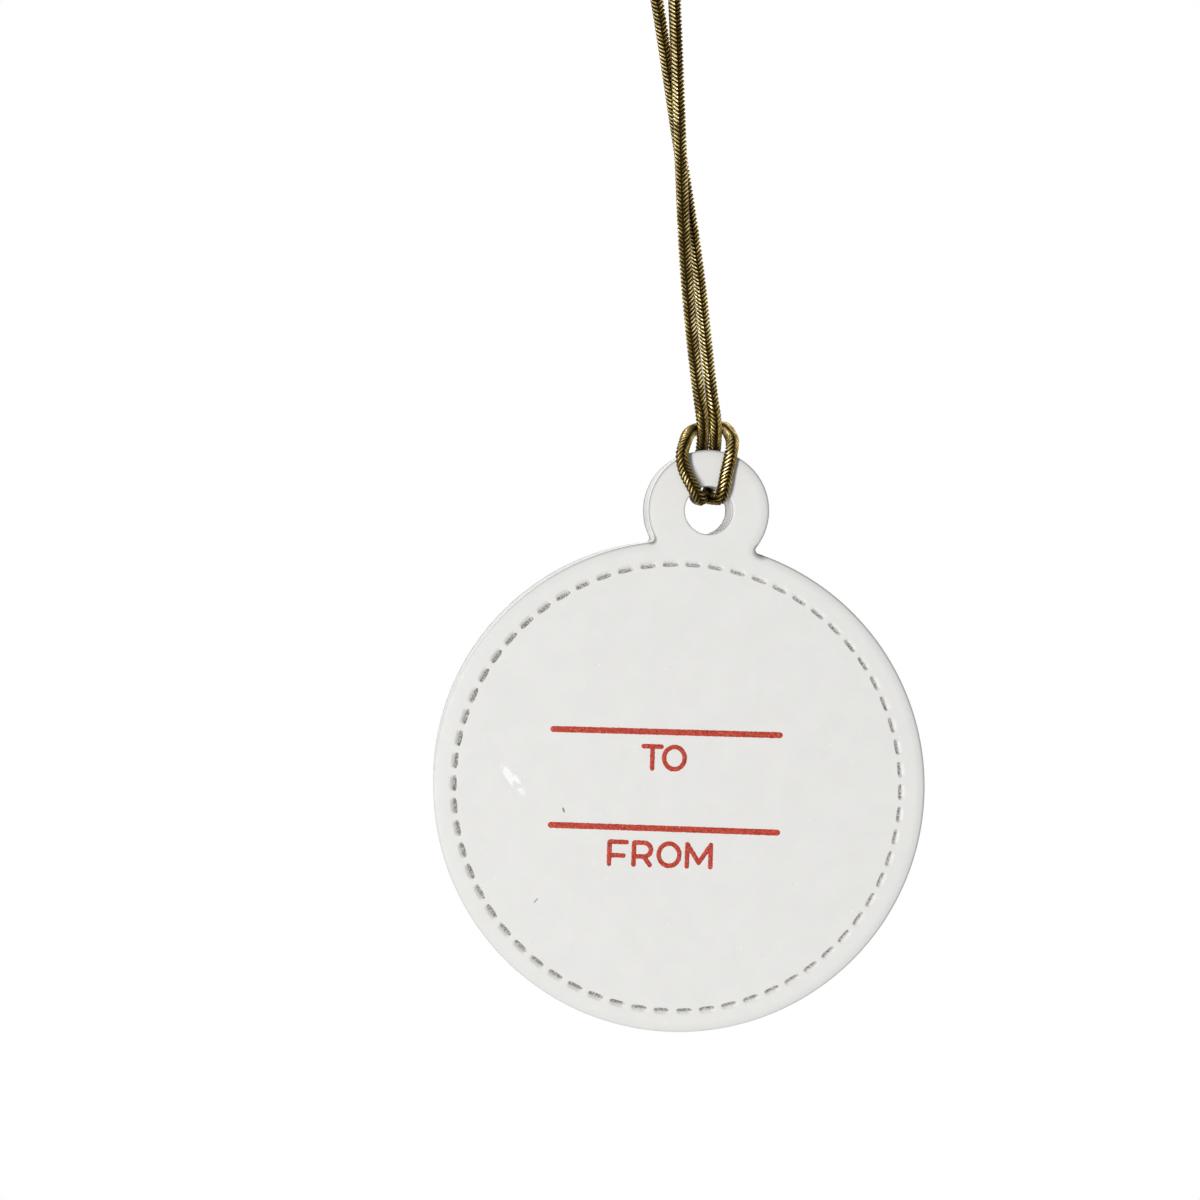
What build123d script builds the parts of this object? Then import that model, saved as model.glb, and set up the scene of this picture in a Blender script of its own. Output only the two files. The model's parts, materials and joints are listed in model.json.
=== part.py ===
from build123d import *
import math
import os

# Round hang tag: a three ply disc with a pierced tab, a ring of pressed stitch dents and two writing lines,
# hung on a gold cord that is hitched through the tab and knotted above it into a hanging eye.
# Millimetres. X runs to the right, Y away from the viewer and Z up.
# The origin is the middle of the hanging eye, where a hook or a peg carries the tag.

# Tag
disc_diameter = 63.5
tab_diameter = 15.6
hole_diameter = 6.2
hole_above_disc = 4.1
neck_radius = 0.5
core_thickness = 2.0
facing_thickness = 1.0
edge_land = 0.7
hole_round = 0.2

# Stitch dents pressed into the front facing, in a ring that sits a little left of the disc's middle.
# Each narrows to a floor that lies nearer the ring's middle.
stitch_margin = 2.75
stitch_spacing = 2.94
stitch_length = 1.9
stitch_width = 0.85
stitch_depth = 0.3
stitch_floor_length = 1.5
stitch_floor_width = 0.3
stitch_floor_shift = 0.15
stitch_shift_x = -0.43
stitch_shift_z = -0.05

# Writing lines, printed a little askew and left of the middle
line_length = 29.7
line_width = 0.8
line_spacing = 12.6
ink_thickness = 0.05
print_shift_x = -1.88
print_shift_z = 0.61
print_skew = 4.6

# Cord
cord_diameter = 1.5
flex_gap = 0.1
cord_lean = 12.0
hole_below_eye = 77.0
hole_right_of_eye = 15.6

# Overhand knot that closes the loop, and the cut ends above it
knot_above_hole = 86.0
knot_left_of_hole = 17.0
knot_height = 4.8
knot_core_radius = 2.0
wrap_sink = 0.55
wrap_spacing = 1.3
strand_spacing = 1.6
knot_lead = 2.5

# Cord routes, measured from the middle of the tag's hole.
# The hitch leads down behind the tab, forward through the hole, up both sides of the front
# and over the tab's top edge into an arc behind the two strands.
hitch_route = [
    (-0.8, 0.0, 15.0),
    (0.05, 0.1, 12.0),
    (1.2, 3.0, 8.7),
    (0.95, 3.2, 2.9),
    (0.8, 2.1, 1.7),
    (0.8, -1.0, 1.65),
    (1.15, -2.6, 1.5),
    (1.2, -3.2, 2.7),
    (1.45, -2.9, 5.0),
    (1.75, -2.9, 7.4),
    (2.15, -1.7, 9.3),
    (2.4, 1.0, 10.4),
    (2.0, 2.9, 11.6),
    (-1.5, 2.9, 10.9),
    (-2.95, 1.0, 10.1),
    (-4.0, -1.8, 8.6),
    (-4.6, -2.95, 6.6),
    (-3.9, -2.9, 4.5),
    (-2.45, -3.2, 2.35),
    (-1.45, -2.6, 1.2),
    (-0.85, -1.0, 1.45),
    (-0.85, 2.1, 1.5),
    (-0.95, 3.2, 2.7),
    (-0.45, 3.0, 8.6),
    (-1.62, 0.1, 12.0),
    (-2.48, 0.0, 15.0),
]
# The strands cross once on their way up and open into the eye. Each ends at the knot.
rear_route = [
    (-0.8, 0.0, 15.0),
    (-2.13, 0.6, 22.0),
    (-4.45, 0.95, 33.0),
    (-8.25, 0.95, 47.0),
    (-11.7, 0.7, 60.0),
    (-14.15, 0.3, 68.5),
    (-17.2, 0.1, 74.6),
    (-18.5, 0.0, 79.6),
]
front_route = [
    (-2.48, 0.0, 15.0),
    (-4.21, -0.5, 22.0),
    (-6.55, -0.95, 33.0),
    (-8.6, -0.95, 47.0),
    (-10.45, -0.7, 60.0),
    (-11.65, -0.3, 68.5),
    (-12.3, -0.1, 74.6),
    (-13.6, 0.0, 79.8),
]
# Cut ends, in the knot's own frame: across it, in depth, and up from its top.
left_tail_route = [(-0.8, 0, 0), (-0.8, 0, 2.4), (-1.7, -0.4, 5.2), (-3.2, -0.5, 7.6)]
right_tail_route = [(0.8, 0, 0), (0.8, 0, 2.6), (1.4, 0.4, 5.6), (2.3, 0.6, 8.6)]

# Planes of the tag, each looking out of its front, with the hole in the middle
tag_thickness = core_thickness + 2 * facing_thickness
hole_to_disc_centre = disc_diameter / 2 + hole_above_disc
hole_from_eye = Vector(hole_right_of_eye, 0, -hole_below_eye)
tag_plane = Plane(origin=hole_from_eye, x_dir=(1, 0, 0), z_dir=(0, -1, 0))
back_plane = tag_plane.offset(-tag_thickness / 2)
core_plane = tag_plane.offset(-core_thickness / 2)
front_plane = tag_plane.offset(core_thickness / 2)
face_plane = tag_plane.offset(tag_thickness / 2)
disc_face = Plane(face_plane * Location((0, -hole_to_disc_centre, 0)))
stitch_plane = Plane(disc_face * Location((stitch_shift_x, stitch_shift_z, 0)))
print_plane = Plane(disc_face * Location((print_shift_x, print_shift_z, 0), (0, 0, print_skew)))

# Frame of the knot: its axis follows the lean of the cord
lean = math.radians(cord_lean)
knot_axis = Vector(-math.sin(lean), 0, math.cos(lean))
knot_across = Vector(math.cos(lean), 0, math.sin(lean))
knot_foot = hole_from_eye + Vector(-knot_left_of_hole, 0, knot_above_hole)
knot_plane = Plane(origin=knot_foot, x_dir=knot_across, z_dir=knot_axis)
knot_section = Plane(origin=knot_foot, x_dir=knot_across, z_dir=(0, -1, 0))
knot_top = knot_plane.offset(knot_height)


def draw_tag_outline():
    """Draw the disc with its tab, the rounded neck corners and the hole, in the open sketch."""
    tab_radius = tab_diameter / 2
    disc_radius = disc_diameter / 2
    neck_level = (disc_radius**2 - tab_radius**2 - hole_to_disc_centre**2) / (2 * hole_to_disc_centre)
    Circle(tab_radius)
    with Locations((0, -hole_to_disc_centre)):
        Circle(disc_radius)
    fillet(vertices().sort_by_distance((0, neck_level))[:2], neck_radius)
    Circle(hole_diameter / 2, mode=Mode.SUBTRACT)


def round_outer_rims(facing_normal):
    """Round the outline and the hole on the side of the open facing that shows."""
    shown_face = faces().sort_by(facing_normal)[-1]
    fillet(shown_face.outer_wire().edges(), facing_thickness - edge_land)
    shown_face = faces().sort_by(facing_normal)[-1]
    fillet(shown_face.inner_wires().edges(), hole_round)


def bend_radii(points):
    """Give each corner of a route the largest arc that its two runs leave room for."""
    radii = []
    for before, corner, after in zip(points, points[1:], points[2:]):
        run_in = Vector(corner) - Vector(before)
        run_out = Vector(after) - Vector(corner)
        half_turn = math.radians(run_in.get_angle(run_out) / 2)
        radii.append(0.45 * min(run_in.length, run_out.length) / math.tan(half_turn))
    return radii


def from_hole(route):
    """Place a route that is measured from the middle of the hole."""
    return [hole_from_eye + Vector(*point) for point in route]


def to_knot(route, side):
    """Lead a strand square into the foot of the knot, on one side of its axis."""
    across = side * strand_spacing / 2
    lead_in = [knot_plane.from_local_coords(Vector(across, 0, -knot_lead))]
    foot = [knot_plane.from_local_coords(Vector(across, 0, 0))]
    return from_hole(route) + lead_in + foot


def shorten(points, length):
    """Draw both ends of a route in along their runs."""
    first = points[0] + (points[1] - points[0]).normalized() * length
    last = points[-1] + (points[-2] - points[-1]).normalized() * length
    return [first] + points[1:-1] + [last]


def sweep_cord(name, points):
    """Sweep the cord's round section along a route in the open part, and print its bends and length."""
    radii = bend_radii(points)
    with BuildLine():
        path = FilletPolyline(*points, radius=radii)
    with BuildSketch(Plane(origin=path @ 0, z_dir=path % 0)) as section:
        Circle(cord_diameter / 2)
    tube = sweep(section.sketch, path=path)
    share = tube.volume / (math.pi * cord_diameter**2 / 4 * path.length)
    print(name, "length", round(path.length, 2), "volume over section times length", round(share, 4))
    print("    radii", [round(radius, 2) for radius in radii])


# Core board
with BuildPart() as core_board:
    with BuildSketch(core_plane):
        draw_tag_outline()
    extrude(amount=core_thickness)

# Back facing, plain, with its outer rims rounded
with BuildPart() as back_facing:
    with BuildSketch(back_plane):
        draw_tag_outline()
    extrude(amount=facing_thickness)
    round_outer_rims(Axis.Y)

# One stitch dent, mouth up, with the disc's middle on the side of negative X
with BuildPart() as stitch_dent:
    with BuildSketch(Plane.XY):
        SlotOverall(stitch_length, stitch_width, rotation=90)
    with BuildSketch(Plane.XY.offset(-stitch_depth)):
        with Locations((-stitch_floor_shift, 0)):
            SlotOverall(stitch_floor_length, stitch_floor_width, rotation=90)
    loft()

# Front facing with its ring of stitch dents
stitch_ring_radius = disc_diameter / 2 - stitch_margin
stitch_count = round(2 * math.pi * stitch_ring_radius / stitch_spacing)
with BuildPart() as front_facing:
    with BuildSketch(front_plane):
        draw_tag_outline()
    extrude(amount=facing_thickness)
    round_outer_rims(-Axis.Y)
    with Locations(stitch_plane):
        with PolarLocations(stitch_ring_radius, stitch_count, start_angle=90 + 180 / stitch_count):
            add(stitch_dent.part, mode=Mode.SUBTRACT)

# Writing lines, films of ink on the face
with BuildPart() as upper_writing_line:
    with BuildSketch(print_plane):
        with Locations((0, line_spacing / 2)):
            SlotOverall(line_length, line_width)
    extrude(amount=ink_thickness)

with BuildPart() as lower_writing_line:
    with BuildSketch(print_plane):
        with Locations((0, -line_spacing / 2)):
            SlotOverall(line_length, line_width)
    extrude(amount=ink_thickness)

# Cow hitch round the tab's bridge, cut off just under the line where the cord flexes
with BuildPart() as cord_hitch:
    sweep_cord("cord_hitch", shorten(from_hole(hitch_route), cord_diameter / 2 + flex_gap))

# Strands, with rounded lower ends on the flex line
with BuildPart() as cord_rear_strand:
    rear_points = to_knot(rear_route, -1)
    sweep_cord("cord_rear_strand", rear_points)
    with Locations(rear_points[0]):
        Sphere(cord_diameter / 2)

with BuildPart() as cord_front_strand:
    front_points = to_knot(front_route, 1)
    sweep_cord("cord_front_strand", front_points)
    with Locations(front_points[0]):
        Sphere(cord_diameter / 2)

# Knot: two turns of cord pressed together and into the gathered strands
wrap_radius = knot_core_radius + cord_diameter / 2 - wrap_sink
with BuildPart() as cord_knot:
    with BuildSketch(knot_section):
        with Locations((0, knot_height / 2)):
            Rectangle(knot_core_radius, knot_height, align=(Align.MIN, Align.CENTER))
        with Locations((wrap_radius, knot_height / 2)):
            with GridLocations(wrap_spacing, wrap_spacing, 1, 2):
                Circle(cord_diameter / 2)
    revolve(axis=Axis(knot_foot, knot_axis))

# Cut ends of the cord above the knot
with BuildPart() as cord_left_tail:
    sweep_cord("cord_left_tail", [knot_top.from_local_coords(Vector(*point)) for point in left_tail_route])

with BuildPart() as cord_right_tail:
    sweep_cord("cord_right_tail", [knot_top.from_local_coords(Vector(*point)) for point in right_tail_route])

pieces = {
    "core_board": core_board,
    "back_facing": back_facing,
    "front_facing": front_facing,
    "upper_writing_line": upper_writing_line,
    "lower_writing_line": lower_writing_line,
    "cord_hitch": cord_hitch,
    "cord_rear_strand": cord_rear_strand,
    "cord_front_strand": cord_front_strand,
    "cord_knot": cord_knot,
    "cord_left_tail": cord_left_tail,
    "cord_right_tail": cord_right_tail,
}
os.makedirs("parts", exist_ok=True)
for name, piece in pieces.items():
    piece.part.label = name
    export_step(piece.part, f"parts/{name}.step")
print("stitches", stitch_count)
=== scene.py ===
import json
import math
from bisect import bisect

import bmesh
import bpy
from bpy.props import FloatProperty, FloatVectorProperty, IntProperty, PointerProperty
from bpy.types import Operator, Panel, PropertyGroup
from mathutils import Matrix, Vector
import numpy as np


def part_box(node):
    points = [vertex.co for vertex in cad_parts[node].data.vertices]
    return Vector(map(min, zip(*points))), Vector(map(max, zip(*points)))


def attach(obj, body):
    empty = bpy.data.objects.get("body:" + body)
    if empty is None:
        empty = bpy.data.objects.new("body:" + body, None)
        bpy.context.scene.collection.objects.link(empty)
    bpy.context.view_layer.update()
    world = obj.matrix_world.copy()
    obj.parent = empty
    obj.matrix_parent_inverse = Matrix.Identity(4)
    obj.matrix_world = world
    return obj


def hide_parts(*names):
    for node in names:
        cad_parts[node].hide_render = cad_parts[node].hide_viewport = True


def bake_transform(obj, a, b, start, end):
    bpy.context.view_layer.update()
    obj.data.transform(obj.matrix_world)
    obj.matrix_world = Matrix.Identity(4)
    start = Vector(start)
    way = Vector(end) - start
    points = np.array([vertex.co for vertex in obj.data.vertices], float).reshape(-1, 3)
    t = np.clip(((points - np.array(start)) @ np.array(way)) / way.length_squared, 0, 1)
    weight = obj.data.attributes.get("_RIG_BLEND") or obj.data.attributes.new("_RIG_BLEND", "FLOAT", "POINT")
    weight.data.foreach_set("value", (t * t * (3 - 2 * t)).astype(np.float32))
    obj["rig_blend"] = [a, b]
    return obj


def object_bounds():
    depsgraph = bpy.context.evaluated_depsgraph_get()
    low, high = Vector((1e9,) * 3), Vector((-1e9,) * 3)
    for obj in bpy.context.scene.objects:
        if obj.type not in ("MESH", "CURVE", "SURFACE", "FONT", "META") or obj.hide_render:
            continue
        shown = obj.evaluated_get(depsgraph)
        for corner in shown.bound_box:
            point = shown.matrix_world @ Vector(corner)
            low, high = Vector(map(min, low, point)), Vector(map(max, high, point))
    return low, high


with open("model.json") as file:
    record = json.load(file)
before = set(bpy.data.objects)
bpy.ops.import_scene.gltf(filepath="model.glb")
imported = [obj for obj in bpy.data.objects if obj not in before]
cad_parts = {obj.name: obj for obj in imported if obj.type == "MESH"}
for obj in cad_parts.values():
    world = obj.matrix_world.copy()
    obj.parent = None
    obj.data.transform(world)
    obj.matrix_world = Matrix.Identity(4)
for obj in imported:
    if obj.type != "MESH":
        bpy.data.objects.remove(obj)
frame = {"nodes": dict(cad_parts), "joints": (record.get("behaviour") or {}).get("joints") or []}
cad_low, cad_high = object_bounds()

bl_info = {
    "name": "Gift tag",
    "version": (1, 0, 0),
    "blender": (4, 5, 0),
    "location": "3D View > Sidebar > Gift tag",
    "description": "Dresses a round white gift tag on its gold cord",
    "category": "Object",
}

# Lengths are in metres, with this for a millimetre, unless a comment says that they are in millimetres
MM = 0.001
QUARTER_TURN = math.radians(90)
HALF_TURN = math.pi
FULL_TURN = 2 * math.pi
WHITE = (1.0, 1.0, 1.0, 1.0)

# Values that the frame gives
joint_places = {joint["name"]: Vector(joint["pos_m"]) for joint in frame["joints"]}
hole_centre = joint_places["tag_swing"]
flex_centre = joint_places["cord_flex"]
facing_low, facing_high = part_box("front_facing")
disc_radius = (facing_high.x - facing_low.x) / 2
facing_thickness = facing_high.y - facing_low.y
face_centre = Vector((facing_low.x + disc_radius, facing_low.y, facing_low.z + disc_radius))
tab_rise = hole_centre.z - face_centre.z
board_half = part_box("core_board")[1].y

# Cord routes in millimetres from the middle of the tag's hole, with the points of the part's source
HITCH_ROUTE = [
    (0.05, 0.1, 12.0),
    (1.2, 3.0, 8.7),
    (0.95, 3.2, 2.9),
    (0.8, 2.1, 1.7),
    (0.8, -1.0, 1.65),
    (1.15, -2.6, 1.5),
    (1.2, -3.2, 2.7),
    (1.45, -2.9, 5.0),
    (1.75, -2.9, 7.4),
    (2.15, -1.7, 9.3),
    (2.4, 1.0, 10.4),
    (2.0, 2.9, 11.6),
    (-1.5, 2.9, 10.9),
    (-2.95, 1.0, 10.1),
    (-4.0, -1.8, 8.6),
    (-4.6, -2.95, 6.6),
    (-3.9, -2.9, 4.5),
    (-2.45, -3.2, 2.35),
    (-1.45, -2.6, 1.2),
    (-0.85, -1.0, 1.45),
    (-0.85, 2.1, 1.5),
    (-0.95, 3.2, 2.7),
    (-0.45, 3.0, 8.6),
    (-1.62, 0.1, 12.0),
]
REAR_ROUTE = [
    (-0.8, 0.0, 15.0),
    (-2.13, 0.6, 22.0),
    (-4.45, 0.95, 33.0),
    (-8.25, 0.95, 47.0),
    (-11.7, 0.7, 60.0),
    (-14.15, 0.3, 68.5),
    (-17.2, 0.1, 74.6),
    (-18.5, 0.0, 79.6),
]
FRONT_ROUTE = [
    (-2.48, 0.0, 15.0),
    (-4.21, -0.5, 22.0),
    (-6.55, -0.95, 33.0),
    (-8.6, -0.95, 47.0),
    (-10.45, -0.7, 60.0),
    (-11.65, -0.3, 68.5),
    (-12.3, -0.1, 74.6),
    (-13.6, 0.0, 79.8),
]
# The knot's foot in millimetres from the middle of the tag's hole
KNOT_FOOT = (-17.0, 0.0, 86.0)
# Ways into the knot and the cut ends in millimetres, in the knot's own frame: across it, in depth, and up
# from its foot
REAR_INTO_KNOT = [(-0.8, 0.0, -2.5), (-0.95, 0.0, -0.4), (-0.95, 0.0, 2.0), (-1.2, 0.1, 3.4)]
REAR_OUT_OF_KNOT = [(0.1, -1.4, 3.3), (0.0, -0.9, 4.3), (-0.5, -0.5, 5.6)]
LEFT_TAIL = [(-0.8, 0.0, 7.2), (-1.7, -0.4, 10.0), (-3.2, -0.5, 12.4)]
FRONT_INTO_KNOT = [(0.8, 0.0, -2.5), (1.0, -0.1, -1.0)]
FRONT_OUT_OF_KNOT = [(-0.1, 1.4, 2.5), (0.1, 0.9, 3.6), (0.6, 0.5, 5.2)]
RIGHT_TAIL = [(0.8, 0.0, 7.4), (1.4, 0.4, 10.4), (2.3, 0.6, 13.4)]
# Each strand's turn round the knot: where it starts in degrees, and its rise from and to in millimetres
REAR_KNOT_TURN = (195, 4.2, 2.9)
FRONT_KNOT_TURN = (0, 0.6, 1.7)

# Turn of the braid about its line in degrees, at the points of each route. At 0 the chevrons at the front
# point the way that the cord runs, from its left cut end to its right one, and at 90 the other way.
REAR_ROLL = [10] * len(REAR_ROUTE)
HITCH_ROLL = [0] * 6 + [15] * 6 + [90] * 12
FRONT_ROLL = [75, 65, 70, 80, 90, 90, 90, 90]
REAR_KNOT_ROLL = 0
FRONT_KNOT_ROLL = 90

# Runs of the cord with painted light: their ends in millimetres from the middle of the tag's hole, and how
# much. A positive strength paints a highlight on the picks, a negative one paints shade.
GLEAMS = [
    ((-1.15, -0.5, 14.0), (-5.1, 0.4, 34.0), 0.9),
    ((-9.5, -1.3, 50.0), (-11.8, -0.9, 66.0), 1.0),
    ((-8.4, -1.3, 48.0), (-10.75, -0.9, 66.0), -0.3),
    ((0.9, -3.6, 3.2), (1.5, -3.5, 7.2), 0.45),
    ((-4.0, -3.6, 4.2), (-3.0, -3.7, 2.7), 0.45),
]

# Painted shade in the cut edge's neck corners: place from the face's middle and reach, in millimetres
NECK_SHADES = [((7.25, 0.1, 31.2), 1.3), ((-6.9, 0.1, 31.3), 0.8)]
# Marks on the face: place from its middle in millimetres, turn in degrees, half length and half width in
# millimetres, and colour. The first, white one is a painted glint streak, the others dark flecks.
FACE_FLECKS_AND_GLINT = [
    # Painted glint streak
    ((-21.4, -1.4), -46, 2.7, 0.75, (0.97, 0.97, 0.96)),
    ((-14.5, -4.6), -65, 0.42, 0.15, (0.25, 0.24, 0.22)),
    ((16.0, -11.0), -60, 0.35, 0.14, (0.25, 0.24, 0.22)),
    ((-16.8, -16.6), 58, 0.5, 0.1, (0.35, 0.34, 0.32)),
]


# Settings


class GIFTTAG_PG_facing(PropertyGroup):
    """Sizes and colours of the white facings and the board between them"""

    tab_radius: FloatProperty(
        name="Tab radius", description="Outer radius of the pierced tab", default=7.8 * MM, unit="LENGTH"
    )
    hole_radius: FloatProperty(
        name="Hole radius", description="Radius of the hole in the tab", default=3.1 * MM, unit="LENGTH"
    )
    neck_radius: FloatProperty(
        name="Neck radius", description="Radius of the corners between tab and disc", default=0.5 * MM,
        unit="LENGTH"
    )
    rim_round: FloatVectorProperty(
        name="Rim rounding", description="Rounding of the outer rim, inwards and down",
        default=(1.4 * MM, 0.22 * MM), size=2, unit="LENGTH"
    )
    hole_round: FloatVectorProperty(
        name="Hole rounding", description="Rounding of the hole's rim, outwards and down",
        default=(0.3 * MM, 0.2 * MM), size=2, unit="LENGTH"
    )
    stitch_count: IntProperty(name="Stitches", description="Dents in the ring", default=62, min=12)
    stitch_ring: FloatProperty(
        name="Stitch ring", description="Radius of the ring of dents", default=29.03 * MM, unit="LENGTH"
    )
    stitch_shift: FloatVectorProperty(
        name="Ring shift", description="Middle of the ring from the disc's middle, to the right and up",
        default=(-0.21 * MM, -0.13 * MM), size=2, unit="LENGTH"
    )
    stitch_length: FloatProperty(
        name="Stitch length", description="Length of one dent", default=1.9 * MM, unit="LENGTH"
    )
    stitch_depth: FloatProperty(
        name="Stitch depth", description="Depth of one dent", default=0.17 * MM, unit="LENGTH"
    )
    stitch_wall: FloatProperty(
        name="Inner wall", description="Width of a dent's steep inner wall", default=0.14 * MM, unit="LENGTH"
    )
    stitch_floor: FloatProperty(
        name="Floor", description="Width of a dent's level floor", default=0.25 * MM, unit="LENGTH"
    )
    stitch_slope: FloatProperty(
        name="Outer slope", description="Width of a dent's soft outer slope", default=0.6 * MM, unit="LENGTH"
    )
    stitch_start: FloatProperty(
        name="Ring turn", description="Turn of the ring of dents, clockwise", default=math.radians(0.78),
        subtype="ANGLE"
    )
    colour: FloatVectorProperty(
        name="Facing", description="Colour of the facings", default=(0.805, 0.80, 0.78), subtype="COLOR",
        size=3
    )
    board_colour: FloatVectorProperty(
        name="Board", description="Colour of the cut board", default=(0.97, 0.965, 0.95), subtype="COLOR",
        size=3
    )


class GIFTTAG_PG_print(PropertyGroup):
    """Sizes and colour of the printed lines and labels"""

    line_length: FloatProperty(
        name="Line length", description="Length of a writing line", default=30.0 * MM, unit="LENGTH"
    )
    line_width: FloatProperty(
        name="Line width", description="Width of a writing line", default=0.8 * MM, unit="LENGTH"
    )
    line_spacing: FloatProperty(
        name="Line spacing", description="Distance between the lines", default=12.47 * MM, unit="LENGTH"
    )
    letter_stroke: FloatProperty(
        name="Letter stroke", description="Width of a letter's stroke", default=0.62 * MM, unit="LENGTH"
    )
    label_drop: FloatProperty(
        name="Label drop", description="Middle of a label below its line", default=3.33 * MM, unit="LENGTH"
    )
    relief: FloatProperty(
        name="Relief", description="Height of the ink above the face", default=0.05 * MM, unit="LENGTH"
    )
    skew: FloatProperty(
        name="Skew", description="Turn of the print on the tag", default=math.radians(4.6), subtype="ANGLE"
    )
    lower_turn: FloatProperty(
        name="Lower turn", description="How much less the lower line and its label are turned",
        default=math.radians(0.4), subtype="ANGLE"
    )
    colour: FloatVectorProperty(
        name="Ink", description="Colour of the ink", default=(0.44, 0.046, 0.026), subtype="COLOR", size=3
    )


class GIFTTAG_PG_cord(PropertyGroup):
    """Sizes and colours of the braided cord"""

    diameter: FloatProperty(
        name="Diameter", description="Outer diameter of the cord", default=1.5 * MM, unit="LENGTH"
    )
    row_pitch: FloatProperty(
        name="Row pitch", description="Length of one row of the braid", default=0.53 * MM, unit="LENGTH"
    )
    columns: IntProperty(name="Columns", description="Columns of picks round the cord", default=4, min=2)
    crown: FloatProperty(
        name="Crown", description="Height of the picks above the cord's even diameter", default=0.12 * MM,
        unit="LENGTH"
    )
    slant: FloatProperty(
        name="Slant", description="Slant of a pick in its column", default=math.radians(48), subtype="ANGLE"
    )
    lean: FloatProperty(
        name="Knot lean", description="Lean of the knot's axis to the left", default=math.radians(12),
        subtype="ANGLE"
    )
    yarn_colour: FloatVectorProperty(
        name="Yarn", description="Colour of the gold yarn", default=(0.41, 0.285, 0.08), subtype="COLOR",
        size=3
    )
    # The core's near-black colour is painted shade between the picks
    core_shade_colour: FloatVectorProperty(
        name="Core", description="Colour of the core between the picks", default=(0.020, 0.012, 0.004),
        subtype="COLOR", size=3
    )


class GIFTTAG_PG_stage(PropertyGroup):
    """Camera and light"""

    across: FloatProperty(
        name="Across", description="Camera to the right of the disc's middle", default=-35.94 * MM,
        unit="LENGTH"
    )
    above: FloatProperty(
        name="Above", description="Camera above the disc's middle", default=30.29 * MM, unit="LENGTH"
    )
    distance: FloatProperty(
        name="Distance", description="Camera in front of the tag's face", default=140.0 * MM, unit="LENGTH"
    )
    roll: FloatProperty(
        name="Roll", description="Camera's turn about its view", default=math.radians(6.19), subtype="ANGLE"
    )
    lens: FloatProperty(name="Lens", description="Focal length", default=32.56, unit="CAMERA")
    shift: FloatVectorProperty(
        name="Shift", description="Sideways and upward shift of the frame", default=(0.1437, -0.0640), size=2
    )
    key_power: FloatProperty(
        name="Key light", description="Power of the key light", default=93.0, unit="POWER"
    )
    edge_power: FloatProperty(
        name="Edge light", description="Power of the edge light", default=5.0, unit="POWER"
    )
    back_power: FloatProperty(
        name="Back light", description="Power of the back light", default=55.0, unit="POWER"
    )
    fill: FloatProperty(name="Fill", description="Strength of the even light", default=0.18)


# Tools that several pieces use


def held(share):
    """A share held between 0 and 1."""
    return min(1.0, max(0.0, share))


def smooth_step(share):
    """Rise from 0 to 1 with level ends."""
    share = held(share)
    return share * share * (3 - 2 * share)


def deselect_all():
    """Leave nothing selected."""
    bpy.ops.object.select_all(action="DESELECT")


def make_active(piece):
    """Select one piece alone."""
    deselect_all()
    piece.select_set(True)
    bpy.context.view_layer.objects.active = piece


def apply_place():
    """Put the selected piece's place, turn and scale into its mesh."""
    bpy.ops.object.transform_apply(location=True, rotation=True, scale=True)


def apply_modifiers(piece):
    """Apply a piece's modifiers in order."""
    make_active(piece)
    for modifier in list(piece.modifiers):
        bpy.ops.object.modifier_apply(modifier=modifier.name)


def join_pieces(pieces, name):
    """Join pieces into the first one."""
    make_active(pieces[0])
    for piece in pieces:
        piece.select_set(True)
    bpy.ops.object.join()
    joined = bpy.context.object
    joined.name = name
    joined.data.name = name
    return joined


def enter_edit():
    """Enter edit mode with the whole active piece selected."""
    bpy.ops.object.mode_set(mode="EDIT")
    bpy.ops.mesh.select_all(action="SELECT")


def leave_edit():
    """Turn all faces outwards and leave edit mode."""
    bpy.ops.mesh.select_all(action="SELECT")
    bpy.ops.mesh.normals_make_consistent(inside=False)
    bpy.ops.object.mode_set(mode="OBJECT")


def select_boundary(piece, test):
    """In edit mode, select the open edges whose points all pass a test."""
    bpy.ops.mesh.select_all(action="DESELECT")
    bpy.ops.mesh.select_mode(type="EDGE")
    mesh = bmesh.from_edit_mesh(piece.data)
    for edge in mesh.edges:
        edge.select_set(len(edge.link_faces) == 1 and all(test(vertex.co) for vertex in edge.verts))
    bmesh.update_edit_mesh(piece.data)


def lay_on_face(piece, place, turn=0.0):
    """Lay a piece drawn in millimetres on the XY plane on the tag's face, and apply its place."""
    make_active(piece)
    stand = Matrix.Rotation(QUARTER_TURN, 4, "X")
    on_face = stand @ Matrix.Rotation(turn, 4, "Z") @ Matrix.Scale(MM, 4)
    piece.matrix_world = Matrix.Translation(place) @ on_face
    apply_place()


# Materials


class Nodes:
    """A node tree with short ways to add nodes and links."""

    def __init__(self, tree):
        self.tree = tree

    def add(self, kind, inputs=None, **settings):
        """Add a node, set its properties, and set or link its inputs."""
        node = self.tree.nodes.new("ShaderNode" + kind)
        for name, value in settings.items():
            setattr(node, name, value)
        for name, value in (inputs or {}).items():
            self.put(node.inputs[name], value)
        return node

    def put(self, socket, value):
        """Link a socket to another one, or set its value."""
        if isinstance(value, bpy.types.NodeSocket):
            self.tree.links.new(value, socket)
        else:
            socket.default_value = value

    def math(self, operation, first, second=0.0):
        """One sum on two values."""
        return self.add("Math", {0: first, 1: second}, operation=operation).outputs[0]

    def seen_directly(self):
        """1 for camera, glossy and transmission rays and 0 for the rest."""
        path = self.add("LightPath")
        seen = self.math("MAXIMUM", path.outputs["Is Camera Ray"], path.outputs["Is Glossy Ray"])
        return self.math("MAXIMUM", seen, path.outputs["Is Transmission Ray"])


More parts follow.
